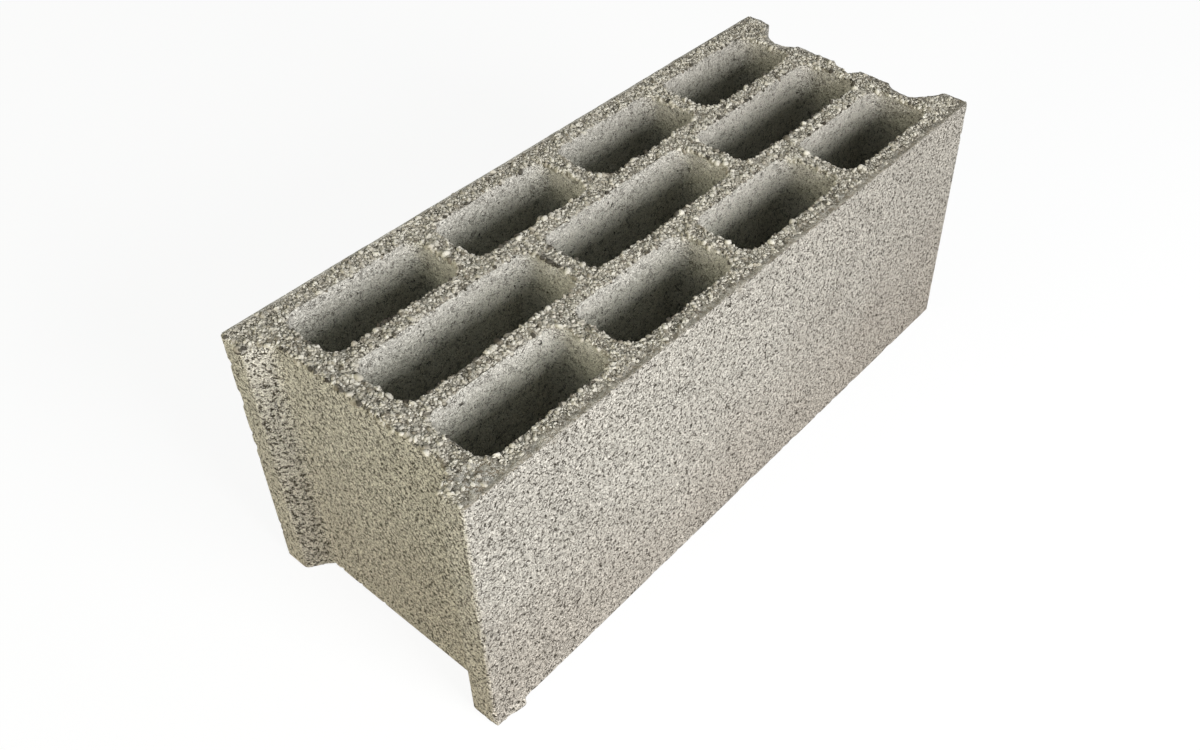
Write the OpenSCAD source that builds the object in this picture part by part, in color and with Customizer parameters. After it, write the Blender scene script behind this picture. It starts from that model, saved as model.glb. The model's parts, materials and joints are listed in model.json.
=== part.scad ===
// Hollow concrete masonry block, standing on its closed bed with its cells open upwards.
// X runs along the length, Y across the width and Z up. The origin is at the middle of the
// bed face.

/* [Block] */
// Length over the lips of both ends
block_length = 500; // [420:1:600]
// Width across the two long faces
block_width = 200; // [180:1:260]
// Height from the bed face to the open face
block_height = 200; // [100:1:250]
// Rounding of the four upright outer corners
corner_radius = 2; // [0.5:0.5:6]

/* [Walls and webs] */
// Thickness of each long outer wall, at the open face
outer_wall = 15; // [10:0.5:22]
// Thickness of each web between two rows of cells, at the open face
row_web = 13; // [8:0.5:20]
// Thickness of each web between two cells of a row, at the open face
cross_web = 13; // [8:0.5:20]
// Thickness of each end web, from the pocket's floor to the first cell's mouth
end_web = 15; // [12:0.5:25]
// Thickness of the bed that closes the cells
bed = 16; // [8:0.5:30]

/* [Cells] */
// Number of cells in each outer row
outer_row_cells = 4; // [3:1:5]
// Number of cells in the middle row
middle_row_cells = 3; // [2:1:4]
// Corner radius of a cell's mouth
cell_corner = 12; // [6:0.5:16]
// Lean of each cell wall between its mouth and its floor
cell_draft = 2; // [0.5:0.5:4]

/* [End pockets] */
// Depth of the mortar pocket in each end
pocket_depth = 15; // [8:0.5:22]
// Width of the flat nose of each lip beside a pocket
lip_nose = 20; // [14:0.5:30]
// Sideways run of the slope from a lip's nose to the pocket's floor
flank_run = 10; // [4:0.5:16]
// Rounding of a nose where it meets the slope
nose_radius = 4; // [1:0.5:8]
// Fillet between slope and floor in the plain pocket, at -X
pocket_fillet = 8; // [2:0.5:14]
// Radius of the groove along each slope of the grooved pocket, at +X
groove_radius = 18; // [14:0.5:24]
// Depth of that groove below the pocket's floor
groove_depth = 7; // [3:0.5:9]

/* [Hidden] */
$fn = 96;

// How far a cutting solid runs past the face that it opens
overcut = 2;

// Cells in each row, from -Y to +Y
row_counts = [outer_row_cells, middle_row_cells, outer_row_cells];
rows = len(row_counts);
cell_width = (block_width - 2 * outer_wall - (rows - 1) * row_web) / rows;
row_pitch = cell_width + row_web;
row_run = block_length - 2 * (pocket_depth + end_web);
cell_depth = block_height - bed;
cell_lean = cell_draft / cell_depth;

function cell_length(count) = (row_run - (count - 1) * cross_web) / count;

// A pocket is drawn with its mouth on the line x = 0, its floor towards -x and +y up one slope.
mouth_half = block_width / 2 - lip_nose;
floor_half = mouth_half - flank_run;
flank_angle = atan2(flank_run, pocket_depth);
flank_normal = [-sin(flank_angle), cos(flank_angle)];
nose_centre = [-nose_radius, mouth_half + nose_radius * (1 + flank_normal.x) / flank_normal.y];

// Draws its children on both sides of the line y = 0
module both_sides() {
    children();
    mirror([0, 1]) children();
}

// What a round leaves over in a square corner, with the round's centre at the origin
module corner_sliver(radius) {
    difference() {
        square(radius + overcut);
        circle(r = radius);
    }
}

// Closes half an outline, given from the mouth to the line y = 0, by its mirror image
module mirrored_polygon(points) {
    last = len(points) - 1;
    polygon(concat(points, [for (i = [last:-1:0]) [points[i].x, -points[i].y]]));
}

// A pocket between two rounded noses. A circle of the given radius touches each slope and dips
// below the floor: with no dip it is the fillet between slope and floor, otherwise a groove.
module pocket(radius, dip) {
    rise = radius - dip;
    centre_y = floor_half - (radius + rise * flank_normal.x) / flank_normal.y;
    centre = [rise - pocket_depth, centre_y];
    difference() {
        union() {
            mirrored_polygon([
                [overcut, nose_centre.y],
                [0, nose_centre.y],
                nose_centre,
                nose_centre - nose_radius * flank_normal,
                centre + radius * flank_normal,
                centre,
                [-pocket_depth, centre_y],
            ]);
            both_sides() translate(centre) circle(r = radius);
        }
        both_sides() translate(nose_centre) circle(r = nose_radius);
    }
}

// Outline of the block seen from above
module block_plan() {
    difference() {
        square([block_length, block_width], center = true);
        for (turn = [0, 180])
            rotate(turn)
                both_sides()
                    translate([block_length / 2 - corner_radius, block_width / 2 - corner_radius])
                        corner_sliver(corner_radius);
        translate([block_length / 2, 0]) pocket(groove_radius, groove_depth);
        translate([-block_length / 2, 0]) mirror([1, 0]) pocket(pocket_fillet, 0);
    }
}

// Section of a cell between two leaning walls, from the floor to past the mouth
module cell_section(mouth_size) {
    floor_end = mouth_size / 2 - cell_draft;
    top_end = mouth_size / 2 + cell_lean * overcut;
    top = cell_depth + overcut;
    polygon([[-floor_end, 0], [floor_end, 0], [top_end, top], [-top_end, top]]);
}

// One cell with its floor on z = 0: two leaning slabs, and a cone in each corner that
// touches both
module cell(length) {
    corner_x = length / 2 - cell_corner;
    corner_y = cell_width / 2 - cell_corner;
    for (x = [-corner_x, corner_x], y = [-corner_y, corner_y])
        translate([x, y, 0])
            cylinder(
                h = cell_depth + overcut,
                r1 = cell_corner - cell_draft,
                r2 = cell_corner + cell_lean * overcut
            );
    translate([0, corner_y, 0])
        rotate([90, 0, 0])
            linear_extrude(2 * corner_y) cell_section(length);
    translate([-corner_x, 0, 0])
        rotate([90, 0, 90])
            linear_extrude(2 * corner_x) cell_section(cell_width);
}

module cell_row(count) {
    pitch = cell_length(count) + cross_web;
    for (i = [0:count - 1])
        translate([(i - (count - 1) / 2) * pitch, 0, 0]) cell(cell_length(count));
}

module concrete_block() {
    color([0.69, 0.67, 0.61])
        difference() {
            linear_extrude(block_height) block_plan();
            for (i = [0:rows - 1])
                translate([0, (i - (rows - 1) / 2) * row_pitch, bed]) cell_row(row_counts[i]);
        }
}

concrete_block();
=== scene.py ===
"""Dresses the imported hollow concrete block: a crumbled open face, worn edges and pitted concrete.

The casting is rebuilt as one even, closed skin. Its rims are rounded, its edges chipped and its
faces pitted. Grains of aggregate are then strewn where the skin has crumbled.
"""

import itertools
import json
import logging
import math
from dataclasses import dataclass
from enum import Enum, IntEnum

import bmesh
import bpy
import numpy as np
from mathutils import Matrix, Vector
from mathutils.kdtree import KDTree

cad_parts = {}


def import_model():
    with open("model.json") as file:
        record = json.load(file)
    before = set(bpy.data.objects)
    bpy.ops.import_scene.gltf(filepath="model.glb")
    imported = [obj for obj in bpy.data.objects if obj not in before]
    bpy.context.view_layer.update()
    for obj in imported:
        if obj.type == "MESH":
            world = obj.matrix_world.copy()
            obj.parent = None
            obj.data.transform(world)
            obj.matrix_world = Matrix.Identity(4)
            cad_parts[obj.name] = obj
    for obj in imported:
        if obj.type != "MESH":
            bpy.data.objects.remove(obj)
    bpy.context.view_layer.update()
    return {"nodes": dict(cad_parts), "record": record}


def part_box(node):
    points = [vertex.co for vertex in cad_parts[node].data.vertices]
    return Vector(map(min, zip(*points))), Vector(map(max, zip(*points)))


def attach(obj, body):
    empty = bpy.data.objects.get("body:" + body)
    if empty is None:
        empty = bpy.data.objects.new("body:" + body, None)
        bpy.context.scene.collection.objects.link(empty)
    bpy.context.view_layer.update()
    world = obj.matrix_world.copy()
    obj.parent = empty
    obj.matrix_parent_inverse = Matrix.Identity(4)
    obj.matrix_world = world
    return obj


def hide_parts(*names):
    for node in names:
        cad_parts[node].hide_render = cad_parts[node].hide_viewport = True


LOG = logging.getLogger("concrete_block")
NODE = "concrete_block"
BODY = "root"
MM = 0.001
WHITE = (1.0, 1.0, 1.0, 1.0)
NOISE_MIDDLE = (0.5, 0.5, 0.5)
STONE_SHEEN = 0.25
TINY = 1e-9


class Zone(Enum):
    """Attributes that the meshes carry for their finish."""

    CRUST = "crust"
    PIT = "pit"
    CELL = "cell"
    RAGGED = "ragged"
    LOOSE = "loose"
    TONE = "tone"
    RISE = "rise"


SKIN_ZONES = (Zone.CRUST, Zone.PIT, Zone.CELL, Zone.RAGGED, Zone.LOOSE)


class Rim(IntEnum):
    """Kinds of rim round the open face."""

    LONG = 0
    END = 1
    SOFT = 2
    RAGGED = 3
    FAR = 4


@dataclass(frozen=True)
class RimWear:
    """How one kind of rim is worn: its rounding, and how far down it has crumbled."""

    radius: float
    crumble: float


RIM_WEAR = {
    Rim.LONG: RimWear(0.8 * MM, 0.3 * MM),
    Rim.END: RimWear(2.4 * MM, 3.6 * MM),
    Rim.SOFT: RimWear(3.4 * MM, 0.9 * MM),
    Rim.RAGGED: RimWear(2.4 * MM, 3.6 * MM),
    Rim.FAR: RimWear(1.2 * MM, 0.8 * MM),
}


class Wire:
    """A value in a node tree, with the arithmetic that the finishes need."""

    def __init__(self, graph: "Graph", socket: bpy.types.NodeSocket) -> None:
        """Keeps the tree and the socket that carries the value."""
        self.graph = graph
        self.socket = socket

    def also(self, name: str) -> "Wire":
        """Another output of the same node."""
        return Wire(self.graph, self.socket.node.outputs[name])

    def _math(self, operation: str, first: "Wire | float", second: "Wire | float") -> "Wire":
        """Adds one Math node."""
        return self.graph.node("ShaderNodeMath", {"operation": operation}, {0: first, 1: second})

    def __add__(self, other: "Wire | float") -> "Wire":
        """Sum."""
        return self._math("ADD", self, other)

    __radd__ = __add__

    def __sub__(self, other: "Wire | float") -> "Wire":
        """Difference."""
        return self._math("SUBTRACT", self, other)

    def __rsub__(self, other: "Wire | float") -> "Wire":
        """Difference from a number."""
        return self._math("SUBTRACT", other, self)

    def __mul__(self, other: "Wire | float") -> "Wire":
        """Product."""
        return self._math("MULTIPLY", self, other)

    __rmul__ = __mul__

    def __truediv__(self, other: "Wire | float") -> "Wire":
        """Quotient."""
        return self._math("DIVIDE", self, other)

    def rise(self, low: float, high: float) -> "Wire":
        """A smooth step.

        Args:
            low: The value at which the step leaves 0.
            high: The value at which it reaches 1. It may lie below low.

        Returns:
            The step, from 0 to 1.
        """
        settings = {"interpolation_type": "SMOOTHSTEP"}
        if low < high:
            return self.graph.node("ShaderNodeMapRange", settings, {0: self, 1: low, 2: high})
        return self.graph.node("ShaderNodeMapRange", settings, {0: self, 1: high, 2: low, 3: 1.0, 4: 0.0})


class Graph:
    """A node tree that is being laid out."""

    def __init__(self, tree: bpy.types.NodeTree) -> None:
        """Starts from an empty tree."""
        self.tree = tree
        tree.nodes.clear()

    def node(self, kind: str, settings: dict | None = None, inputs: dict | None = None,
             output: str | int = 0) -> Wire:
        """Adds one node.

        Args:
            kind: The node's type.
            settings: Its properties, which are set first; "stops" are those of a colour ramp.
            inputs: Values or wires for its sockets, by name or by number.
            output: The output that is returned.

        Returns:
            The chosen output.
        """
        made = self.tree.nodes.new(kind)
        for name, value in (settings or {}).items():
            if name == "stops":
                self._set_stops(made.color_ramp, value)
            else:
                setattr(made, name, value)
        for name, value in (inputs or {}).items():
            socket = made.inputs[name]
            if isinstance(value, Wire):
                self.tree.links.new(value.socket, socket)
            else:
                socket.default_value = value
        return Wire(self, made.outputs[output] if made.outputs else None)

    def _set_stops(self, ramp: bpy.types.ColorRamp, stops: tuple) -> None:
        """Gives a colour ramp its stops, each a place and a colour."""
        while len(ramp.elements) < len(stops):
            ramp.elements.new(1.0)
        for element, (place, tone) in zip(ramp.elements, stops):
            element.position = place
            element.color = tone

    def mix(self, share: Wire | float, first: Wire | tuple, second: Wire | tuple,
            blend: str = "MIX") -> Wire:
        """Mixes two colours.

        Args:
            share: How much of the second colour shows.
            first: The colour at share 0.
            second: The colour at share 1.
            blend: The kind of mix.

        Returns:
            The mixed colour.
        """
        settings = {"data_type": "RGBA", "blend_type": blend}
        return self.node("ShaderNodeMix", settings, {0: share, 6: first, 7: second}, 2)

    def tint(self, body: Wire, level: Wire) -> Wire:
        """A colour made lighter or darker by a level around 1."""
        grey = self.node("ShaderNodeCombineColor", None, {0: level, 1: level, 2: level})
        return self.mix(1.0, body, grey, "MULTIPLY")

    def noise(self, place: Wire, size: float, detail: float = 2.0, swirl: float = 0.0) -> Wire:
        """Smooth noise from 0 to 1.

        Args:
            place: The coordinates.
            size: The size of its largest feature, in metres.
            detail: How many finer layers it has.
            swirl: How far its features are drawn out.

        Returns:
            The noise.
        """
        sockets = {"Vector": place, "Scale": 1 / size, "Detail": detail, "Distortion": swirl}
        return self.node("ShaderNodeTexNoise", None, sockets)

    def sway(self, sockets: dict, reach: Wire | float) -> Wire:
        """A vector of noise that swings to both sides of zero.

        Args:
            sockets: The place and the scale of the noise, by the names of its inputs.
            reach: The factor that gives the vector its length.

        Returns:
            The vector.
        """
        noise = self.node("ShaderNodeTexNoise", None, {**sockets, "Detail": 1.0}, "Color")
        return self.scaled(self.vector("SUBTRACT", noise, NOISE_MIDDLE), reach)

    def cracks(self, place: Wire, size: float) -> Wire:
        """How far a place is from the nearest of a net of bent lines, as a share of the net's mesh.

        Args:
            place: The coordinates.
            size: The net's mesh, in metres.

        Returns:
            The distance, 0 on a line.
        """
        bend = self.sway({"Vector": place, "Scale": 1 / size}, size)
        bent = self.vector("ADD", place, bend)
        settings = {"feature": "DISTANCE_TO_EDGE"}
        return self.node("ShaderNodeTexVoronoi", settings, {"Vector": bent, "Scale": 1 / size}, "Distance")

    def attribute(self, zone: Zone) -> Wire:
        """One of the mesh's attributes."""
        return self.node("ShaderNodeAttribute", {"attribute_name": zone.value}, None, "Fac")

    def vector(self, operation: str, first: Wire, second: Wire | tuple, output: int = 0) -> Wire:
        """Adds one Vector Math node."""
        return self.node("ShaderNodeVectorMath", {"operation": operation}, {0: first, 1: second}, output)

    def seen(self) -> Wire:
        """1 for what the camera sees, straight or by way of metal or glass."""
        path = self.node("ShaderNodeLightPath")
        return path.also("Is Camera Ray") + path.also("Is Glossy Ray") + path.also("Is Transmission Ray")

    def scaled(self, vector: Wire, factor: Wire | float) -> Wire:
        """A vector times a number."""
        return self.node("ShaderNodeVectorMath", {"operation": "SCALE"}, {0: vector, "Scale": factor})

    def stone(self, body: Wire, roughness: float, relief: Wire, strength: float, depth: float) -> None:
        """Ends a material as matt stone.

        Args:
            body: Its colour.
            roughness: Its roughness.
            relief: The height of its fine relief.
            strength: How strongly that relief shows.
            depth: How deep that relief is, in metres.
        """
        sockets = {"Strength": strength, "Distance": depth, "Height": relief}
        bump = self.node("ShaderNodeBump", None, sockets)
        surface = self.node(
            "ShaderNodeBsdfPrincipled", None,
            {"Base Color": body, "Roughness": roughness, "Normal": bump, "Specular IOR Level": STONE_SHEEN},
        )
        self.node("ShaderNodeOutputMaterial", None, {"Surface": surface})


def colour(red: float, green: float, blue: float) -> tuple[float, float, float, float]:
    """A linear colour from sRGB levels between 0 and 255."""
    linear = [((level / 255 + 0.055) / 1.055) ** 2.4 for level in (red, green, blue)]
    return (*linear, 1.0)


@dataclass(frozen=True)
class ConcreteFinish:
    """Pressed concrete: paste with open pores; painted shade darkens its pores, nicks, cracks and pitted
    zones, and the gaps between grains where it has crumbled.

    A range says where its noise starts a mark and where the mark is full. Parts, edges and ends are
    distances from the near end, the front face or the bed, and the mouths' band is measured down from
    the open face.
    """

    tones: tuple = (
        (0.22, colour(124, 119, 110)),
        (0.34, colour(180, 175, 165)),
        (0.44, colour(202, 197, 187)),
        (0.52, colour(210, 205, 195)),
        (0.60, colour(219, 214, 204)),
        (0.70, colour(226, 222, 212)),
        (0.84, colour(234, 230, 221)),
    )
    # The crust's own brownish tone, painted darker as the shade in the gaps between grains.
    crust_and_gap_shade: tuple = (
        (0.30, colour(42, 37, 29)),
        (0.38, colour(94, 87, 75)),
        (0.47, colour(150, 143, 129)),
        (0.62, colour(182, 176, 164)),
    )
    plain: tuple = colour(210, 205, 195)
    # Painted shade: the first colour for the pores, the second for the nicks and cracks.
    pore_shade: tuple = colour(46, 42, 35)
    nick: tuple = colour(64, 58, 47)
    # Multiplied in: darker and warmer towards the bottom, and as painted shade towards the far end.
    low_and_far_tint: tuple = colour(240, 232, 226)
    # Painted shade tint, multiplied in deeper in the cells.
    cell_shade_tint: tuple = colour(253, 255, 249)
    skim: tuple = colour(186, 177, 162)
    smear: tuple = colour(140, 129, 112)
    rust: tuple = colour(122, 86, 48)
    roughness: float = 0.92
    relief_strength: float = 0.9
    relief_depth: float = 0.9 * MM
    cloud_size: float = 70.0 * MM
    blotch_size: float = 16.0 * MM
    pore_size: float = 0.95 * MM
    hole_size: float = 2.5 * MM
    nick_size: float = 1.2 * MM
    flake_size: float = 4.5 * MM
    crack_size: float = 1.9 * MM
    crumb_size: float = 2.6 * MM
    pore_range: tuple = (0.300, 0.262)
    nick_range: tuple = (0.390, 0.335)
    flake_range: tuple = (0.48, 0.40)
    crack_range: tuple = (0.18, 0.06)
    clump_range: tuple = (0.38, 0.58)
    loose_range: tuple = (0.0, 0.6)
    pore_shade_share: float = 0.90
    nick_shade_share: float = 0.95
    crust_share: float = 0.95
    skim_share: float = 0.45
    rear_share: float = 0.6
    near_end: tuple = (16.5 * MM, 15.5 * MM)
    near_corner: tuple = (0.5 * MM, 3.0 * MM)
    front_edge: tuple = (7.0 * MM, 1.5 * MM)
    rear_part: tuple = (100.0 * MM, 150.0 * MM)
    far_part: tuple = (150.0 * MM, 500.0 * MM)
    low_part: tuple = (150.0 * MM, 0.0)
    low_wave: float = 120.0 * MM
    mouth_band: tuple = (3.0 * MM, 28.0 * MM)
    stains: tuple = (
        ((9.0 * MM, 19.0 * MM, -3.0 * MM), 3.4 * MM),
        ((10.0 * MM, 22.5 * MM, -12.0 * MM), 4.2 * MM),
    )
    stain_ragged: float = 2.0 * MM
    stain_wave: float = 1.4
    stain_range: tuple = (1.0, 0.5)
    stain_share: float = 0.75

    def stained(self, graph: Graph, body: Wire, place: Wire, corner: Vector) -> Wire:
        """A colour with the stains on it.

        Args:
            graph: The material's tree.
            body: The colour.
            place: The coordinates.
            corner: The near front corner of the open face, from which the stains are measured.

        Returns:
            The stained colour.
        """
        ragged = graph.noise(place, self.stain_ragged) - 0.5
        for offset, radius in self.stains:
            away = graph.vector("DISTANCE", place, corner + Vector(offset), 1)
            reach = away / radius + ragged * self.stain_wave
            body = graph.mix(reach.rise(*self.stain_range) * self.stain_share, body, self.rust)
        return body

    def material(self, low: Vector, high: Vector) -> bpy.types.Material:
        """Makes the material.

        Args:
            low: The lowest corner of the casting.
            high: Its highest corner.

        Returns:
            A material that reads Object coordinates and the skin's attributes.
        """
        made = bpy.data.materials.new("pressed_concrete")
        made.use_nodes = True
        graph = Graph(made.node_tree)
        place = graph.node("ShaderNodeTexCoord", None, None, "Object")
        crust = graph.attribute(Zone.CRUST)
        pit = graph.attribute(Zone.PIT)
        cell = graph.attribute(Zone.CELL)
        loose = graph.attribute(Zone.LOOSE)

        # Distances from the near end, the front face and the bed
        along = graph.node("ShaderNodeSeparateXYZ", None, {0: graph.vector("SUBTRACT", place, low)}, "X")
        across = along.also("Y")
        above = along.also("Z")
        near = along.rise(*self.near_end) * across.rise(*self.near_corner)
        far = along.rise(*self.far_part)

        # Noise, from coarse to fine
        cloud = graph.noise(place, self.cloud_size, 3.0)
        blotch = graph.noise(place, self.blotch_size, 3.0)
        flake = graph.noise(place, self.flake_size, 1.0, 0.5)
        crumb = graph.noise(place, self.crumb_size, 2.0, 1.0)
        hole = graph.noise(place, self.hole_size, 1.0, 0.5)
        nick = graph.noise(place, self.nick_size, 1.0, 1.4)
        pore = graph.noise(place, self.pore_size, 1.0, 0.8)
        patch = blotch - 0.5

        # Paste with painted shade in its pores, nicks and cracks
        grain = 0.5 + (pore - 0.5) * (0.9 + blotch * 0.4)
        # Pitted zones are painted a little darker, as shade of their open pits.
        body = graph.node("ShaderNodeValToRGB", {"stops": self.tones}, {0: grain - pit * 0.10})
        pore_marks = hole + cell * 0.01 - near * (1.0 - pit) * 0.03 + patch * 0.12
        pore_marks = pore_marks.rise(*self.pore_range)
        shaded_nicks = (nick + cell * 0.03 - pit * 0.05 + patch * 0.05).rise(*self.nick_range)
        flaked = hole + (flake - hole + 0.03) * cell - pit * 0.08 - near * 0.03
        flaked = flaked.rise(*self.flake_range)
        cuts = graph.cracks(place, self.crack_size).rise(*self.crack_range)
        cuts = cuts * flaked * (1.0 - cell * 0.4)
        # Painted shade in the pores, the nicks and the cracks under flake edges.
        body = graph.mix(pore_marks * self.pore_shade_share, body, self.pore_shade)
        body = graph.mix(shaded_nicks * self.nick_shade_share, body, self.nick)
        body = graph.mix(cuts * self.nick_shade_share, body, self.nick)

        # Crust of the open face, with trodden paste where few grains lie and painted shade between the
        # grains
        crust_and_gap_shade = graph.node("ShaderNodeValToRGB", {"stops": self.crust_and_gap_shade}, {0: crumb})
        rear = across.rise(*self.rear_part) * self.rear_share
        clump = crumb.rise(*self.clump_range) * (1.0 - rear) + rear
        flat = graph.mix(clump, self.smear, self.plain)
        crust_and_gap_shade = graph.mix(loose.rise(*self.loose_range), flat, crust_and_gap_shade)
        body = graph.mix(crust * self.crust_share, body, crust_and_gap_shade)
        edge = across.rise(*self.front_edge) * crust
        body = graph.mix(edge * self.skim_share, body, self.skim)

        # Darker and warmer low down, painted shade towards the far end and deep in the cells, painted light
        # at the near end, and mottling
        # Darker and warmer towards the bottom; painted shade, darker and warmer towards the far end.
        low_down = (above + (cloud - 0.5) * self.low_wave).rise(*self.low_part)
        body = graph.mix(low_down * 0.5 + far * 0.2, body, self.low_and_far_tint, "MULTIPLY")
        height = high.z - low.z
        # Painted shade tint: faintly greenish deeper in the cells, below their mouths.
        inside = cell * above.rise(*(height - depth for depth in self.mouth_band))
        body = graph.mix(inside, body, self.cell_shade_tint, "MULTIPLY")
        # Mottled by cloud and blotch noise; painted shade darker towards the far end, painted light lighter
        # at the near end.
        mottle_and_falloff = (0.83 + cloud * 0.20 + blotch * 0.14) * (1.0 - far * 0.12 + near * 0.06)
        body = graph.tint(body, mottle_and_falloff)
        body = self.stained(graph, body, place, Vector((low.x, low.y, high.z)))

        relief = nick.rise(0.30, 0.60) * 1.2 + pore * 0.5 - pore_marks * 0.6 - cuts * 0.7
        relief = relief + crumb * crust * 2.0
        graph.stone(body, self.roughness, relief, self.relief_strength, self.relief_depth)
        return made


@dataclass(frozen=True)
class GrainFinish:
    """Grains of aggregate: each with a tone of its own, paler on top and darkened by painted shade towards
    the gaps.
    """

    tones: tuple = (
        (0.00, colour(104, 97, 85)),
        (0.14, colour(148, 141, 129)),
        (0.28, colour(168, 162, 149)),
        (0.55, colour(177, 171, 159)),
        (0.80, colour(187, 182, 171)),
        (1.00, colour(198, 193, 182)),
    )
    # Painted shade, darkest at the grains' feet in the gaps.
    gap: tuple = colour(42, 37, 29)
    gap_shade_range: tuple = (0.05, -0.45)
    gap_shade_share: float = 0.90
    roughness: float = 0.9
    dust_size: float = 1.2 * MM
    dust_share: float = 0.3
    relief_strength: float = 0.4
    relief_depth: float = 0.3 * MM

    def material(self) -> bpy.types.Material:
        """Makes the material.

        Returns:
            A material that reads Object coordinates and the grains' attributes.
        """
        made = bpy.data.materials.new("crumbled_aggregate")
        made.use_nodes = True
        graph = Graph(made.node_tree)
        place = graph.node("ShaderNodeTexCoord", None, None, "Object")
        dust = graph.noise(place, self.dust_size, 2.0)
        tone = graph.attribute(Zone.TONE) + (dust - 0.5) * self.dust_share
        body = graph.node("ShaderNodeValToRGB", {"stops": self.tones}, {0: tone})
        # Painted shade towards each grain's foot, where the gaps between grains are.
        shaded_depth = graph.attribute(Zone.RISE).rise(*self.gap_shade_range)
        body = graph.mix(shaded_depth * self.gap_shade_share, body, self.gap)
        graph.stone(body, self.roughness, dust, self.relief_strength, self.relief_depth)
        return made


@dataclass(frozen=True)
class FloorFinish:
    """A pale floor that the camera sees as nearly white, with the shadow left on it."""

    shade: tuple = (0.24, 0.20, 0.16, 1.0)
    lift: float = 0.90

    def material(self) -> bpy.types.Material:
        """Makes the material."""
        made = bpy.data.materials.new("pale_floor")
        made.use_nodes = True
        graph = Graph(made.node_tree)
        matt = graph.node("ShaderNodeBsdfDiffuse", None, {"Color": self.shade})
        pale = graph.node("ShaderNodeBsdfDiffuse", None, {"Color": WHITE})
        glow = graph.node("ShaderNodeEmission", None, {"Color": WHITE, "Strength": 1.0})
        shown = graph.node("ShaderNodeMixShader", None, {0: self.lift, 1: pale, 2: glow})
        surface = graph.node("ShaderNodeMixShader", None, {0: graph.seen(), 1: matt, 2: shown})
        graph.node("ShaderNodeOutputMaterial", None, {"Surface": surface})
        return made


@dataclass(frozen=True)
class Wobble:
    """Smooth lattice noise for the casting's wear."""

    size: float
    seed: int

    STRIDES = (73856093, 19349663, 83492791)
    SEED_STRIDE = 2654435761
    STIR = 1274126177
    KEPT_BITS = 0x7FFFFFFF
    LOW_BITS = 0xFFFF

    def _corner(self, cell: np.ndarray) -> np.ndarray:
        """A steady random value between -1 and 1 for each lattice corner."""
        mixed = np.bitwise_xor.reduce(cell * np.array(self.STRIDES), axis=1)
        mixed = mixed ^ self.seed * self.SEED_STRIDE
        mixed = (mixed ^ (mixed >> 13)) * self.STIR & self.KEPT_BITS
        mixed = (mixed ^ (mixed >> 16)) & self.LOW_BITS
        return mixed / (self.LOW_BITS / 2) - 1.0

    def at(self, points: np.ndarray) -> np.ndarray:
        """The noise at a set of points.

        Args:
            points: One row of three coordinates a point, in metres.

        Returns:
            One value a point, between -1 and 1.
        """
        scaled = points / self.size
        cell = np.floor(scaled).astype(np.int64)
        part = scaled - cell
        part = part * part * (3.0 - 2.0 * part)
        total = np.zeros(len(points))
        for corner in itertools.product((0, 1), repeat=3):
            step = np.array(corner)
            weight = np.where(step == 1, part, 1.0 - part).prod(axis=1)
            total += weight * self._corner(cell + step)
        return total


def evaluated(thing: bpy.types.Object) -> bpy.types.Mesh:
    """A plain mesh of an object with its modifiers applied."""
    graph = bpy.context.evaluated_depsgraph_get()
    graph.update()
    return bpy.data.meshes.new_from_object(thing.evaluated_get(graph), depsgraph=graph)


def coordinates(mesh: bpy.types.Mesh) -> np.ndarray:
    """The corners of a mesh, one row each."""
    values = np.empty(len(mesh.vertices) * 3, np.float32)
    mesh.vertices.foreach_get("co", values)
    return values.reshape(-1, 3).astype(float)


def normals(mesh: bpy.types.Mesh) -> np.ndarray:
    """The normals at the corners of a mesh, one row each."""
    values = np.empty(len(mesh.vertices) * 3, np.float32)
    mesh.vertex_normals.foreach_get("vector", values)
    return values.reshape(-1, 3).astype(float)


def triangles(mesh: bpy.types.Mesh) -> int:
    """How many triangles a mesh has."""
    mesh.calc_loop_triangles()
    return len(mesh.loop_triangles)


def store(mesh: bpy.types.Mesh, zone: Zone, values: np.ndarray) -> None:
    """Writes one attribute of a mesh."""
    layer = mesh.attributes.new(zone.value, "FLOAT", "POINT")
    layer.data.foreach_set("value", values.astype(np.float32))


def smooth_step(values: np.ndarray, low: float, high: float) -> np.ndarray:
    """A smooth step from 0 at low to 1 at high."""
    share = np.clip((values - low) / (high - low), 0.0, 1.0)
    return share * share * (3.0 - 2.0 * share)


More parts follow.
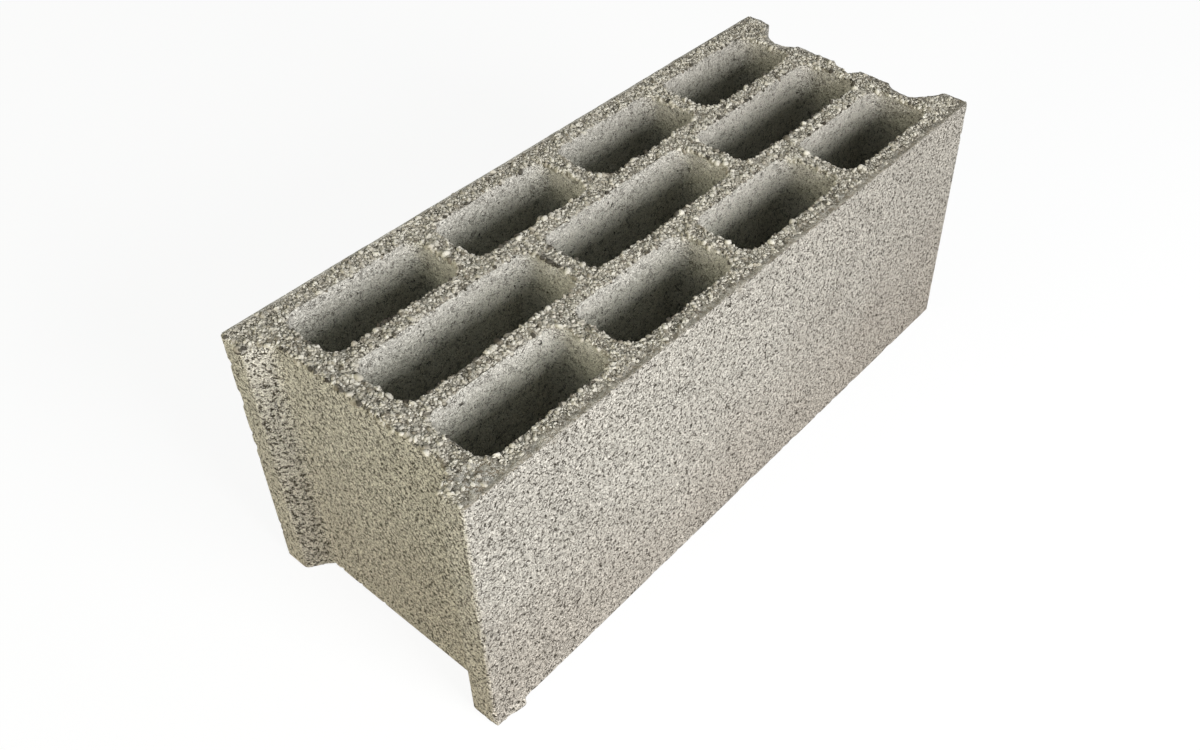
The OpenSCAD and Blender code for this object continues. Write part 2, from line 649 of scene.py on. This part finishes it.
class RimMap:
    """The rims of the open face: its outline and the mouths of the cells."""

    SPACING = 0.5 * MM
    FLAT = 0.01 * MM
    LONG_BAND = 2.5 * MM
    MOUTH_GAP = 7.0 * MM

    def __init__(self, mesh: bpy.types.Mesh, level: float, cells: list[np.ndarray]) -> None:
        """Finds the rims.

        Args:
            mesh: The casting, with its doubles merged.
            level: The height of the open face.
            cells: The lowest and highest corner of the space in each cell.
        """
        corners = coordinates(mesh)
        level_corner = np.abs(corners[:, 2] - level) < self.FLAT
        count: dict[tuple[int, int], int] = {}
        for polygon in mesh.polygons:
            if all(level_corner[i] for i in polygon.vertices):
                for edge in polygon.edge_keys:
                    count[edge] = count.get(edge, 0) + 1
        edges = [edge for edge, uses in count.items() if uses == 1]
        points = [self._along(corners[a], corners[b]) for a, b in edges]
        self.points = np.concatenate(points)[:, :2]
        self.kinds = self._sorted(cells)
        self.tree = KDTree(len(self.points))
        for index, (x, y) in enumerate(self.points):
            self.tree.insert((x, y, 0.0), index)
        self.tree.balance()

    def _along(self, start: np.ndarray, end: np.ndarray) -> np.ndarray:
        """Evenly spaced points on one edge."""
        steps = max(2, int(np.linalg.norm(end - start) / self.SPACING) + 1)
        share = np.linspace(0.0, 1.0, steps)[:, None]
        return start * (1.0 - share) + end * share

    def _sorted(self, cells: list[np.ndarray]) -> np.ndarray:
        """The kind of each point of the rims."""
        x, y = self.points.T
        kinds = np.where(x > 0.0, Rim.FAR, Rim.END)
        kinds[np.abs(y) > np.abs(y).max() - self.LONG_BAND] = Rim.LONG
        for low, high in cells:
            span_x = (x > low[0] - self.MOUTH_GAP) & (x < high[0] + self.MOUTH_GAP)
            span_y = (y > low[1] - self.MOUTH_GAP) & (y < high[1] + self.MOUTH_GAP)
            mouth = span_x & span_y
            kinds[mouth] = np.where(y[mouth] > high[1], Rim.SOFT, Rim.RAGGED)
        return kinds

    def nearest(self, points: np.ndarray) -> np.ndarray:
        """The number of the nearest rim point, seen from above, for each of a set of points."""
        return np.array([self.tree.find((x, y, 0.0))[1] for x, y in points[:, :2].tolist()])


class GeometryTree:
    """A Geometry Nodes tree with named inputs, which is run once on an object."""

    def __init__(self, name: str, kinds: dict[str, str]) -> None:
        """Starts a tree.

        Args:
            name: Its name.
            kinds: The name and the kind of each of its inputs.
        """
        self.tree = bpy.data.node_groups.new(name, "GeometryNodeTree")
        self.tree.is_modifier = True
        self.graph = Graph(self.tree)
        face = self.tree.interface
        face.new_socket("Geometry", in_out="INPUT", socket_type="NodeSocketGeometry")
        face.new_socket("Geometry", in_out="OUTPUT", socket_type="NodeSocketGeometry")
        self.names = {
            key: face.new_socket(key, in_out="INPUT", socket_type=f"NodeSocket{kind}").identifier
            for key, kind in kinds.items()
        }
        self.given = self.graph.node("NodeGroupInput")

    def stored(self, name: str, kind: str = "FLOAT") -> Wire:
        """A named attribute of the geometry."""
        return self.graph.node("GeometryNodeInputNamedAttribute", {"data_type": kind}, {"Name": name})

    def keep(self, geometry: Wire, name: str, value: Wire, kind: str = "FLOAT") -> Wire:
        """Geometry with one more named attribute."""
        settings = {"data_type": kind, "domain": "POINT"}
        inputs = {"Geometry": geometry, "Name": name, "Value": value}
        return self.graph.node("GeometryNodeStoreNamedAttribute", settings, inputs)

    def random(self, low: tuple | float, high: tuple | float, step: int) -> Wire:
        """A random number or vector for each point, from the tree's seed."""
        vector = isinstance(low, tuple)
        ends = {0: low, 1: high} if vector else {2: low, 3: high}
        settings = {"data_type": "FLOAT_VECTOR" if vector else "FLOAT"}
        inputs = {**ends, "Seed": self.given.also("Seed") + step}
        return self.graph.node("FunctionNodeRandomValue", settings, inputs, 0 if vector else 1)

    def end(self, geometry: Wire) -> None:
        """Ends the tree."""
        self.graph.node("NodeGroupOutput", None, {"Geometry": geometry})

    def run(self, thing: bpy.types.Object, values: dict[str, object]) -> bpy.types.Mesh:
        """Runs the tree on an object.

        Args:
            thing: The object, whose own mesh stays as it is.
            values: The tree's inputs, by name.

        Returns:
            A plain mesh of the result.
        """
        modifier = thing.modifiers.new(self.tree.name, "NODES")
        modifier.node_group = self.tree
        for name, value in values.items():
            modifier[self.names[name]] = value
        made = evaluated(thing)
        thing.modifiers.remove(modifier)
        return made


class Shape(Enum):
    """Shapes of grain: the radius of the ball, its subdivisions, and whether it is smooth."""

    SHARD = (1.1, 1, False)
    LUMP = (1.0, 2, True)


@dataclass(frozen=True)
class AggregateScatter:
    """Grains of aggregate, strewn by Geometry Nodes where a skin has crumbled."""

    name: str
    zone: Zone
    spacing: float
    smallest: float
    largest: float
    lumpy: float
    sink: float
    shape: Shape
    seed: int
    densest: float = 1_000_000.0
    narrowest: tuple = (0.6, 0.6, 0.5)
    widest: tuple = (1.4, 1.3, 1.0)
    finish: GrainFinish = GrainFinish()

    def tree(self) -> GeometryTree:
        """Lays out the tree."""
        kinds = {"Spacing": "Float", "Smallest": "Float", "Largest": "Float", "Lumpy": "Float",
                 "Sink": "Float", "Densest": "Float", "Seed": "Int", "Material": "Material"}
        made = GeometryTree(self.name, kinds)
        graph, given = made.graph, made.given
        spots = graph.node(
            "GeometryNodeDistributePointsOnFaces", {"distribute_method": "POISSON"},
            {"Mesh": given, "Distance Min": given.also("Spacing"), "Density Max": given.also("Densest"),
             "Density Factor": made.stored(self.zone.value), "Seed": given.also("Seed")},
        )
        draw = made.random(0.0, 1.0, 0)
        radius = given.also("Smallest") + draw * draw * (given.also("Largest") - given.also("Smallest"))
        spots_kept = made.keep(spots, "spot", graph.node("GeometryNodeInputPosition"), "FLOAT_VECTOR")
        spots_kept = made.keep(spots_kept, "lean", spots.also("Normal"), "FLOAT_VECTOR")
        spots_kept = made.keep(spots_kept, "size", radius)
        spots_kept = made.keep(spots_kept, Zone.TONE.value, made.random(0.0, 1.0, 3))
        depth = made.stored("size") * given.also("Sink") * -1.0
        down = graph.scaled(made.stored("lean", "FLOAT_VECTOR"), depth)
        sunk = graph.node("GeometryNodeSetPosition", None, {"Geometry": spots_kept, "Offset": down})
        spread = made.random(self.narrowest, self.widest, 1)
        turn = made.random((0.0, 0.0, 0.0), (math.tau, math.tau, math.tau), 2)
        ball, cuts, smooth = self.shape.value
        shape = graph.node("GeometryNodeMeshIcoSphere", None, {"Radius": ball, "Subdivisions": cuts})
        strewn = graph.node(
            "GeometryNodeInstanceOnPoints", None,
            {"Points": sunk, "Instance": shape, "Scale": graph.scaled(spread, radius),
             "Rotation": graph.node("FunctionNodeEulerToRotation", None, {0: turn})},
        )
        solid = graph.node("GeometryNodeRealizeInstances", None, {"Geometry": strewn})
        ripple = graph.sway({"Scale": 1 / self.smallest}, given.also("Lumpy") * 2.0)
        shifted = graph.node("GeometryNodeSetPosition", None, {"Geometry": solid, "Offset": ripple})
        here = graph.node("GeometryNodeInputPosition")
        above = graph.vector("SUBTRACT", here, made.stored("spot", "FLOAT_VECTOR"))
        height = graph.vector("DOT_PRODUCT", above, made.stored("lean", "FLOAT_VECTOR"), 1)
        risen = made.keep(shifted, Zone.RISE.value, height / made.stored("size"))
        spent = ["spot", "lean", "size", "id"] + [zone.value for zone in SKIN_ZONES]
        for name in spent:
            risen = graph.node("GeometryNodeRemoveAttribute", None, {"Geometry": risen, "Name": name})
        sockets = {"Geometry": risen, "Shade Smooth": smooth}
        round_off = graph.node("GeometryNodeSetShadeSmooth", None, sockets)
        sockets = {"Geometry": round_off, "Material": given.also("Material")}
        made.end(graph.node("GeometryNodeSetMaterial", None, sockets))
        return made

    def strew(self, skin: bpy.types.Object) -> bpy.types.Object:
        """Makes the grains.

        Args:
            skin: The object on whose crust they lie.

        Returns:
            One object with all the grains.
        """
        sizes = {"Spacing": self.spacing, "Smallest": self.smallest, "Largest": self.largest,
                 "Lumpy": self.lumpy, "Sink": self.sink, "Densest": self.densest, "Seed": self.seed,
                 "Material": self.finish.material()}
        mesh = self.tree().run(skin, sizes)
        grains = bpy.data.objects.new(f"{NODE}_{self.name}", mesh)
        bpy.context.scene.collection.objects.link(grains)
        return grains


STREWN = (
    AggregateScatter("grains", Zone.LOOSE, 1.3 * MM, 0.7 * MM, 2.0 * MM, 0.6 * MM, 0.40, Shape.SHARD, 11),
    AggregateScatter("lumps", Zone.RAGGED, 2.4 * MM, 1.1 * MM, 2.6 * MM, 1.1 * MM, 0.15, Shape.LUMP, 12),
)


@dataclass(frozen=True)
class MouldFace:
    """The true faces of the mould, to which an even skin is drawn by Geometry Nodes."""

    reach: float = 1.5 * MM

    def tree(self) -> GeometryTree:
        """Lays out the tree."""
        made = GeometryTree("mould_face", {"Mould": "Object", "Reach": "Float"})
        graph, given = made.graph, made.given
        mould = graph.node("GeometryNodeObjectInfo", None, {"Object": given.also("Mould")}, "Geometry")
        nearest = graph.node("GeometryNodeProximity", {"target_element": "FACES"}, {0: mould}, "Position")
        sides = {0: nearest.also("Distance"), 1: given.also("Reach")}
        close = graph.node("FunctionNodeCompare", {"operation": "LESS_THAN"}, sides)
        sockets = {"Geometry": given, "Selection": close, "Position": nearest}
        made.end(graph.node("GeometryNodeSetPosition", None, sockets))
        return made

    def true_up(self, skin: bpy.types.Object, mould: bpy.types.Object) -> None:
        """Draws a skin to the faces of a mould.

        Args:
            skin: The object whose mesh is replaced.
            mould: The object with the true faces.
        """
        skin.data = self.tree().run(skin, {"Mould": mould, "Reach": self.reach})


@dataclass(frozen=True)
class Bite:
    """A chip out of an edge: what lies inside a rough ball is pushed out of it.

    The centre is a place in the block's frame. Points past reach times the radius are left alone.
    """

    centre: tuple[float, float, float]
    radius: float
    rough: float = 0.25
    reach: float = 1.5
    wave: Wobble = Wobble(4 * MM, 71)

    def cut(self, points: np.ndarray) -> None:
        """Pushes the points inside the ball to its far side."""
        away = points - np.array(self.centre)
        close = np.flatnonzero(np.abs(away).max(axis=1) < self.radius * self.reach)
        away = away[close]
        size = np.maximum(np.linalg.norm(away, axis=1), TINY)
        radius = self.radius * (1.0 + self.rough * self.wave.at(points[close]))
        points[close] += away * (np.maximum(radius / size, 1.0) - 1.0)[:, None]


@dataclass(frozen=True)
class Burr:
    """Paste that was pressed out along the front edge of the bed, from the near corner on."""

    length: float = 24.0 * MM
    bulge: float = 4.5 * MM
    height: float = 5.0 * MM
    wave: Wobble = Wobble(5 * MM, 72)

    def swell(self, points: np.ndarray, low: Vector) -> None:
        """Draws the edge out.

        Args:
            points: The skin's corners, which are moved.
            low: The lowest corner of the casting.
        """
        end = low.x + self.length
        gap = points[:, 1] - low.y
        near = (gap < self.height) & (points[:, 2] < 2 * self.height)
        near &= points[:, 0] < end + self.height
        spot = points[near]
        along = 1.0 - smooth_step(spot[:, 0], end - 2 * MM, end + 1 * MM)
        along *= 0.35 + 0.65 * smooth_step(spot[:, 0], low.x, end - 3 * MM)
        up = 1.0 - smooth_step(spot[:, 2], 0.3 * self.height, self.height)
        across = 1.0 - smooth_step(gap[near], 0.2 * self.height, self.height)
        points[near, 1] -= self.bulge * along * up * across * (0.85 + 0.3 * self.wave.at(spot))


@dataclass
class CastBlock:
    """The block as it comes from the mould, with its crumbled open face and its wear.

    A band is the pair of distances at which an effect starts and ends. The flank and the noses of the
    lips are measured from the near end and from the block's middle. Each lip has its side and the
    rounding that its nose adds. The trodden corner is a place in the block's frame, seen from above.
    """

    source: bpy.types.Object
    cells: list[np.ndarray]
    finish: ConcreteFinish = ConcreteFinish()
    mould_face: MouldFace = MouldFace()
    burr: Burr = Burr()
    voxel: float = 1.0 * MM
    most_triangles: int = 194_000
    rim_reach: float = 16.0 * MM
    long_band: tuple[float, float] = (2.5 * MM, 8.5 * MM)
    far_band: tuple[float, float] = (2.0 * MM, 5.0 * MM)
    rear_band: tuple[float, float] = (1.8 * MM, 3.0 * MM)
    edge_reach: float = 5.0 * MM
    ragged_band: tuple[float, float] = (1.0 * MM, 4.0 * MM)
    trodden: tuple[float, float] = (-0.229, -0.090)
    trodden_band: tuple[float, float] = (8.0 * MM, 19.0 * MM)
    sag: float = 1.1 * MM
    lumps: float = 0.9 * MM
    least_radius: float = 0.3 * MM
    least_crumble: float = 0.2 * MM
    corner_wear: tuple[float, ...] = (2.6 * MM, 5.0 * MM, 1.8 * MM, 2.6 * MM)
    corner_foot: tuple[float, float] = (3.0 * MM, 15.0 * MM)
    corner_round: float = 0.6 * MM
    bed_wear: float = 1.2 * MM
    bed_round: float = 0.3 * MM
    bed_skin: float = 1.0 * MM
    pit_depth: float = 0.9 * MM
    pit_reach: float = 70.0 * MM
    pit_range: tuple[float, float] = (0.40, 0.66)
    flank: tuple[float, float] = (16.0 * MM, 62.0 * MM)
    flank_reach: float = 16.0 * MM
    lips: tuple = ((-1.0, 4.5 * MM), (1.0, 7.0 * MM))
    lip_nose: tuple[float, float] = (4.0 * MM, 80.0 * MM)
    lip_reach: float = 11.0 * MM
    sharp: float = 50.0
    weld: float = 0.01 * MM
    rim_waves: tuple[Wobble, ...] = (Wobble(14 * MM, 3), Wobble(5 * MM, 4))
    crust_waves: tuple[Wobble, ...] = (Wobble(9 * MM, 7), Wobble(4 * MM, 8))
    loose_wave: Wobble = Wobble(9 * MM, 10)
    sag_wave: Wobble = Wobble(26 * MM, 5)
    lump_waves: tuple[Wobble, ...] = (Wobble(7 * MM, 6), Wobble(3.5 * MM, 9))
    pit_waves: tuple[Wobble, ...] = (Wobble(3.6 * MM, 61), Wobble(1.9 * MM, 62))
    patch_wave: Wobble = Wobble(22 * MM, 63)
    bites: tuple[Bite, ...] = (
        Bite((0.2440, -0.0020, 0.2050), 15.0 * MM, 0.1),
        Bite((0.2360, -0.0085, 0.2020), 7.5 * MM, 0.1),
        Bite((0.2290, -0.0090, 0.2003), 3.4 * MM, 0.1),
        Bite((-0.2505, 0.1005, 0.178), 4.2 * MM),
        Bite((-0.2505, 0.1005, 0.120), 3.8 * MM),
        Bite((-0.2505, 0.1005, 0.096), 3.0 * MM),
    )

    def __post_init__(self) -> None:
        """Takes the sizes of the casting from the frame."""
        self.low, self.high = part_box(NODE)

    def merged(self) -> bpy.types.Mesh:
        """A copy of the casting's mesh with its doubles merged."""
        mesh = self.source.data.copy()
        work = bmesh.new()
        work.from_mesh(mesh)
        bmesh.ops.remove_doubles(work, verts=work.verts, dist=self.weld)
        work.to_mesh(mesh)
        work.free()
        return mesh

    def bench(self, name: str) -> bpy.types.Object:
        """An object with the merged mesh, to work on."""
        thing = bpy.data.objects.new(name, self.merged())
        bpy.context.scene.collection.objects.link(thing)
        return thing

    def even_skin(self) -> bpy.types.Object:
        """The casting as an even skin on the true faces of its mould."""
        block = self.bench(NODE + "_cast")
        modifier = block.modifiers.new("skin", "REMESH")
        modifier.mode = "VOXEL"
        modifier.voxel_size = self.voxel
        block.data = evaluated(block)
        block.modifiers.remove(modifier)
        mould = self.bench("mould")
        self.mould_face.true_up(block, mould)
        bpy.data.objects.remove(mould)
        return block

    def rim_radius(self, rim: np.ndarray, kinds: np.ndarray) -> np.ndarray:
        """How far each point of a rim is rounded, most at the lips of the plain end."""
        flat = np.column_stack((rim, np.zeros(len(rim))))
        broad, fine = (wave.at(flat) for wave in self.rim_waves)
        wave = 1.0 + 0.5 * broad + 0.3 * fine
        radius = np.array([RIM_WEAR[kind].radius for kind in Rim])[kinds] * wave
        for side, depth in self.lips:
            along, across = self.lip_nose
            lip = np.array((self.low.x + along, side * across))
            away = np.linalg.norm(rim - lip, axis=1)
            radius += depth * np.exp(-((away / self.lip_reach) ** 2))
        return np.maximum(radius, self.least_radius)

    def round_rims(self, points: np.ndarray, facing: np.ndarray, rim: np.ndarray,
                   kinds: np.ndarray) -> None:
        """Rounds the rims of the open face.

        Args:
            points: The skin's corners near the rims, which are moved.
            facing: Their normals.
            rim: The nearest point of a rim for each.
            kinds: The kind of that rim.
        """
        radius = self.rim_radius(rim, kinds)
        away = points[:, :2] - rim
        distance = np.linalg.norm(away, axis=1)
        flat = facing[:, 2] > 0.6
        outward = -facing[:, :2]
        outward /= np.maximum(np.linalg.norm(outward, axis=1), TINY)[:, None]
        inland = np.where(flat[:, None], away / np.maximum(distance, TINY)[:, None], outward)
        gap_in = np.maximum(radius - np.where(flat, distance, 0.0), 0.0)
        gap_down = np.maximum(radius - (self.high.z - points[:, 2]), 0.0)
        length = np.hypot(gap_in, gap_down)
        inside = (gap_in > 0) & (gap_down > 0) & (length > radius)
        pull = np.where(inside, 1.0 - radius / np.maximum(length, TINY), 0.0)
        points[:, :2] += inland * (gap_in * pull)[:, None]
        points[:, 2] -= gap_down * pull

    def crust(self, points: np.ndarray, kinds: np.ndarray) -> np.ndarray:
        """How crumbled the skin is near the rims: 1 on the open face, fading below its rims."""
        ragged = np.array([RIM_WEAR[kind].crumble for kind in Rim])[kinds]
        broad, fine = (wave.at(points) for wave in self.crust_waves)
        ragged = np.maximum(ragged * (0.8 + 0.7 * broad + 0.4 * fine), self.least_crumble)
        depth = self.high.z - points[:, 2]
        return 1.0 - smooth_step(depth / ragged, 0.4, 1.0)

    def loose(self, points: np.ndarray, kinds: np.ndarray, distance: np.ndarray) -> np.ndarray:
        """How thickly grains lie on the crust: few on the front edge, a corner and the far end."""
        gap = points[:, 1] - self.low.y + 2.5 * MM * self.loose_wave.at(points)
        far = np.where(kinds == Rim.FAR, smooth_step(distance, *self.far_band), 1.0)
        rear = smooth_step(self.high.y - points[:, 1], *self.rear_band)
        corner = np.linalg.norm(points[:, :2] - np.array(self.trodden), axis=1)
        corner = 0.1 + 0.9 * smooth_step(corner, *self.trodden_band)
        return smooth_step(gap, *self.long_band) * far * rear * corner

    def crumble(self, points: np.ndarray, facing: np.ndarray, crust: np.ndarray) -> None:
        """Lowers the crust unevenly."""
        wave = 0.7 + 0.6 * self.sag_wave.at(points)
        broad, fine = (wobble.at(points) for wobble in self.lump_waves)
        lump = broad + 0.7 * fine
        inland = 0.15 + 0.85 * smooth_step(self.high.y - np.abs(points[:, 1]), 0.0, self.edge_reach)
        points -= facing * (crust * inland * (self.sag * wave + self.lumps * lump))[:, None]

    def wear_corners(self, points: np.ndarray) -> None:
        """Wears the upright corners and the edges of the bed."""
        sides = itertools.product((-1.0, 1.0), repeat=2)
        for index, ((side_x, side_y), wear) in enumerate(zip(sides, self.corner_wear)):
            gap = self.high.x - side_x * points[:, 0] + self.high.y - side_y * points[:, 1]
            near = np.flatnonzero(gap < 3 * wear)
            spot = points[near]
            nick = Wobble(9 * MM, 20 + index).at(spot) + 0.6 * Wobble(4 * MM, 30 + index).at(spot)
            nick *= 0.2 + 0.8 * smooth_step(spot[:, 2], *self.corner_foot)
            depth = wear * np.maximum(nick, 0.0) + self.corner_round
            short = np.maximum(depth - gap[near], 0.0) / 2
            points[near, 0] -= side_x * short
            points[near, 1] -= side_y * short
        for axis, reach in ((0, self.high.x), (1, self.high.y)):
            gap = reach - np.abs(points[:, axis]) + points[:, 2]
            near = np.flatnonzero(gap < 3 * self.bed_wear)
            spot = points[near]
            nick = Wobble(11 * MM, 40 + axis).at(spot) + 0.5 * Wobble(4 * MM, 50 + axis).at(spot)
            depth = self.bed_wear * np.maximum(nick - 0.15, 0.0) + self.bed_round
            short = np.maximum(depth - gap[near], 0.0) / 2
            points[near, axis] -= np.sign(spot[:, axis]) * short
            points[near, 2] += short

    def pits(self, points: np.ndarray, cell: np.ndarray) -> np.ndarray:
        """How deeply the moulded faces are pitted: 0 where they are whole, 1 at most."""
        pitted = np.zeros(len(points))
        seen = np.flatnonzero((cell < 0.5) | (points[:, 2] > self.high.z - self.pit_reach))
        spot = points[seen]
        broad, fine = (wave.at(spot) for wave in self.pit_waves)
        open_grain = 0.62 * broad + 0.38 * fine
        patch = 0.12 * self.patch_wave.at(spot) - 0.12 * cell[seen]
        along, across = self.flank
        flank = np.exp(-(((spot[:, 1] - across) / self.flank_reach) ** 2))
        flank *= spot[:, 0] < self.low.x + along
        pitted[seen] = smooth_step(open_grain + patch + 0.06 * flank, *self.pit_range)
        return pitted

    def in_cells(self, points: np.ndarray) -> np.ndarray:
        """1 on the walls and floors of the cells, 0 elsewhere."""
        low = np.min([box[0] for box in self.cells], axis=0) - RimMap.MOUTH_GAP
        high = np.max([box[1] for box in self.cells], axis=0) + RimMap.MOUTH_GAP
        inner = np.all((points[:, :2] > low[:2]) & (points[:, :2] < high[:2]), axis=1)
        return (inner & (points[:, 2] > self.low.z + self.bed_skin)).astype(float)

    def age(self, block: bpy.types.Object, rims: RimMap) -> None:
        """Wears the skin and stores what its finish needs.

        Args:
            block: The even skin.
            rims: The rims of its open face.
        """
        points = coordinates(block.data)
        facing = normals(block.data)
        cell = self.in_cells(points)
        near = np.flatnonzero(points[:, 2] > self.high.z - self.rim_reach)
        found = rims.nearest(points[near])
        rim, kinds = rims.points[found], rims.kinds[found]
        crust = np.zeros(len(points))
        ragged = np.zeros(len(points))
        crust[near] = self.crust(points[near], kinds)
        distance = np.linalg.norm(points[near, :2] - rim, axis=1)
        loose = np.zeros(len(points))
        loose[near] = crust[near] * self.loose(points[near], kinds, distance)
        edge = np.isin(kinds, (Rim.RAGGED, Rim.END)) * (1.0 - smooth_step(distance, *self.ragged_band))
        ragged[near] = edge * loose[near]
        pit = self.pits(points, cell) * (1.0 - crust)
        worn = points[near]
        self.round_rims(worn, facing[near], rim, kinds)
        points[near] = worn
        points -= facing * (pit * self.pit_depth)[:, None]
        crumbled = np.flatnonzero(crust > 0)
        worn = points[crumbled]
        self.crumble(worn, facing[crumbled], crust[crumbled])
        points[crumbled] = worn
        self.wear_corners(points)
        self.burr.swell(points, self.low)
        for bite in self.bites:
            bite.cut(points)
        block.data.vertices.foreach_set("co", points.astype(np.float32).ravel())
        block.data.update()
        for zone, values in zip(SKIN_ZONES, (crust, pit, cell, ragged, loose)):
            store(block.data, zone, values)

    def thin(self, block: bpy.types.Object) -> None:
        """Brings the skin under its number of triangles, keeping them where it is rough."""
        modifier = block.modifiers.new("thin", "DECIMATE")
        modifier.ratio = min(1.0, self.most_triangles / triangles(block.data))
        modifier.use_collapse_triangulate = True
        block.data = evaluated(block)
        block.modifiers.remove(modifier)

    def dress(self, block: bpy.types.Object) -> None:
        """Gives the skin its smoothing and its finish."""
        mesh = block.data
        mesh.materials.clear()
        mesh.materials.append(self.finish.material(self.low, self.high))
        mesh.polygons.foreach_set("use_smooth", np.ones(len(mesh.polygons), bool))
        mesh.set_sharp_from_angle(angle=math.radians(self.sharp))
        mesh.update()

    def build(self) -> bpy.types.Object:
        """Makes the block.

        Returns:
            One closed object that stands for the casting.
        """
        block = self.even_skin()
        LOG.info("even skin: %d faces", len(block.data.polygons))
        self.age(block, RimMap(self.merged(), self.high.z, self.cells))
        LOG.info("worn")
        self.thin(block)
        self.dress(block)
        return block


@dataclass(frozen=True)
class Lamp:
    """A large soft lamp that looks at the block."""

    name: str
    place: tuple[float, float, float]
    size: float
    power: float
    tone: tuple[float, float, float]

    def hang(self, target: Vector) -> None:
        """Adds the lamp to the scene, turned to the target."""
        light = bpy.data.lights.new(self.name, "AREA")
        light.shape = "DISK"
        light.size = self.size
        light.energy = self.power
        light.color = self.tone
        lamp = bpy.data.objects.new(self.name, light)
        lamp.location = self.place
        lamp.rotation_euler = (target - Vector(self.place)).to_track_quat("-Z", "Y").to_euler()
        bpy.context.scene.collection.objects.link(lamp)


@dataclass(frozen=True)
class ViewPoint:
    """The photograph's camera: angles in degrees, lengths in metres, the frame in pixels."""

    azimuth: float = -51.45
    elevation: float = 41.73
    roll: float = 1.25
    distance: float = 0.9285
    aside: float = -0.02856
    above: float = -0.07279
    focal: float = 1228.06
    middle: tuple[float, float] = (679.73, 321.25)
    frame: tuple[int, int] = (1200, 750)
    sensor: float = 36.0
    nearest: float = 0.01

    def set_up(self) -> None:
        """Adds the camera and makes it the scene's."""
        turn, tilt, roll = (math.radians(a) for a in (self.azimuth, self.elevation, self.roll))
        back = Vector((math.sin(turn) * math.cos(tilt), -math.cos(turn) * math.cos(tilt), math.sin(tilt)))
        level = Vector((math.cos(turn), math.sin(turn), 0.0))
        upright = back.cross(level)
        right = level * math.cos(roll) + upright * math.sin(roll)
        up = upright * math.cos(roll) - level * math.sin(roll)
        place = back * self.distance - right * self.aside - up * self.above
        width, height = self.frame
        data = bpy.data.cameras.new("photo_camera")
        data.sensor_width = self.sensor
        data.lens = self.focal / width * self.sensor
        data.shift_x = (width / 2 - self.middle[0]) / width
        data.shift_y = (self.middle[1] - height / 2) / width
        data.clip_start = self.nearest
        camera = bpy.data.objects.new("photo_camera", data)
        camera.matrix_world = Matrix.Translation(place) @ Matrix((right, up, back)).transposed().to_4x4()
        bpy.context.scene.collection.objects.link(camera)
        bpy.context.scene.camera = camera


@dataclass
class Studio:
    """The floor, the light and the camera."""

    floor_finish: FloorFinish = FloorFinish()
    floor_half: float = 6.0
    floor_gap: float = 0.1 * MM
    sky: float = 0.33
    sky_tone: tuple[float, float, float] = (0.94, 1.0, 0.95)
    lamps: tuple[Lamp, ...] = (
        Lamp("window", (-0.14, -1.9, 0.90), 1.05, 61.0, (0.975, 0.985, 1.0)),
        Lamp("bounce", (-2.9, 0.5, 0.60), 1.3, 59.0, (1.0, 0.965, 0.75)),
    )
    view: ViewPoint = ViewPoint()

    def lay_floor(self, level: float) -> None:
        """Adds the floor.

        Args:
            level: Its height.
        """
        half = self.floor_half
        mesh = bpy.data.meshes.new("floor")
        mesh.from_pydata(
            [(-half, -half, level), (half, -half, level), (half, half, level), (-half, half, level)],
            [], [(0, 1, 2, 3)],
        )
        mesh.materials.append(self.floor_finish.material())
        floor = bpy.data.objects.new("floor", mesh)
        bpy.context.scene.collection.objects.link(floor)

    def light(self, target: Vector) -> None:
        """Adds the sky and the lamps."""
        world = bpy.data.worlds.new("studio")
        world.use_nodes = True
        graph = Graph(world.node_tree)
        tone = (*self.sky_tone, 1.0)
        sky = graph.node("ShaderNodeBackground", None, {"Color": tone, "Strength": self.sky})
        white = graph.node("ShaderNodeBackground", None, {"Color": WHITE, "Strength": 1.0})
        surface = graph.node("ShaderNodeMixShader", None, {0: graph.seen(), 1: sky, 2: white})
        graph.node("ShaderNodeOutputWorld", None, {"Surface": surface})
        bpy.context.scene.world = world
        for lamp in self.lamps:
            lamp.hang(target)

    def build(self, low: Vector, high: Vector) -> None:
        """Sets the studio up around the block's box."""
        self.lay_floor(low.z - self.floor_gap)
        self.light((low + high) / 2)
        self.view.set_up()
        bpy.context.scene.view_settings.view_transform = "Standard"


def cell_spaces(record: dict) -> list[np.ndarray]:
    """The lowest and highest corner of the space in each cell, from the record's openings."""
    return [np.array(space["box_m"]) for space in record["physics"]["openings"] if "cell" in space["name"]]


def main() -> None:
    """Builds the block and its studio."""
    logging.basicConfig(level=logging.INFO, format="%(name)s: %(message)s")
    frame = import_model()
    block = CastBlock(frame["nodes"][NODE], cell_spaces(frame["record"])).build()
    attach(block, BODY)
    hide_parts(NODE)
    LOG.info("%s: %d triangles", block.name, triangles(block.data))
    for scatter in STREWN:
        grains = scatter.strew(block)
        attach(grains, BODY)
        LOG.info("%s: %d triangles", grains.name, triangles(grains.data))
    Studio().build(*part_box(NODE))


if __name__ == "__main__":
    main()
